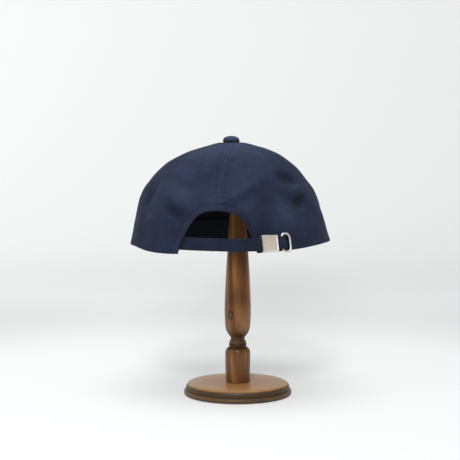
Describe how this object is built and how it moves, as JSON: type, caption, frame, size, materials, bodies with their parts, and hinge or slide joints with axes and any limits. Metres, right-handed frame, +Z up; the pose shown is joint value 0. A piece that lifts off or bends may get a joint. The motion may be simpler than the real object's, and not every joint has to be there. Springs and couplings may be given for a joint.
{
  "type": "duck cap on a display stand",
  "caption": "Soft navy duck-cloth cap with a curved peak, self-cloth back strap, slide clasp and tuck ring, on a turned wooden display stand.",
  "frame": {"origin": "centre of the stand's underside, on the turned post's axis", "axes": "+Z up along the post, -Y towards the cap's back and strap, +Y towards the peak, +X to the wearer's right"},
  "size_m": [0.1944, 0.2517, 0.2519],
  "materials": {
    "cloth": "matte cotton duck weave",
    "lining": "matte dark cotton twill",
    "metal": "satin silver plating",
    "post_wood": "brown stained, satin",
    "base_wood": "lighter brown, satin"
  },
  "bodies": {
    "root": {"crown": "cloth", "top_button": "cloth", "arch_binding": "cloth", "peak": "cloth", "sweatband": "lining", "back_strap": "cloth", "clasp_tab": "cloth", "clasp": "metal", "tuck_ring": "metal", "stand_post": "post_wood", "stand_base": "base_wood"}
  },
  "joints": []
}
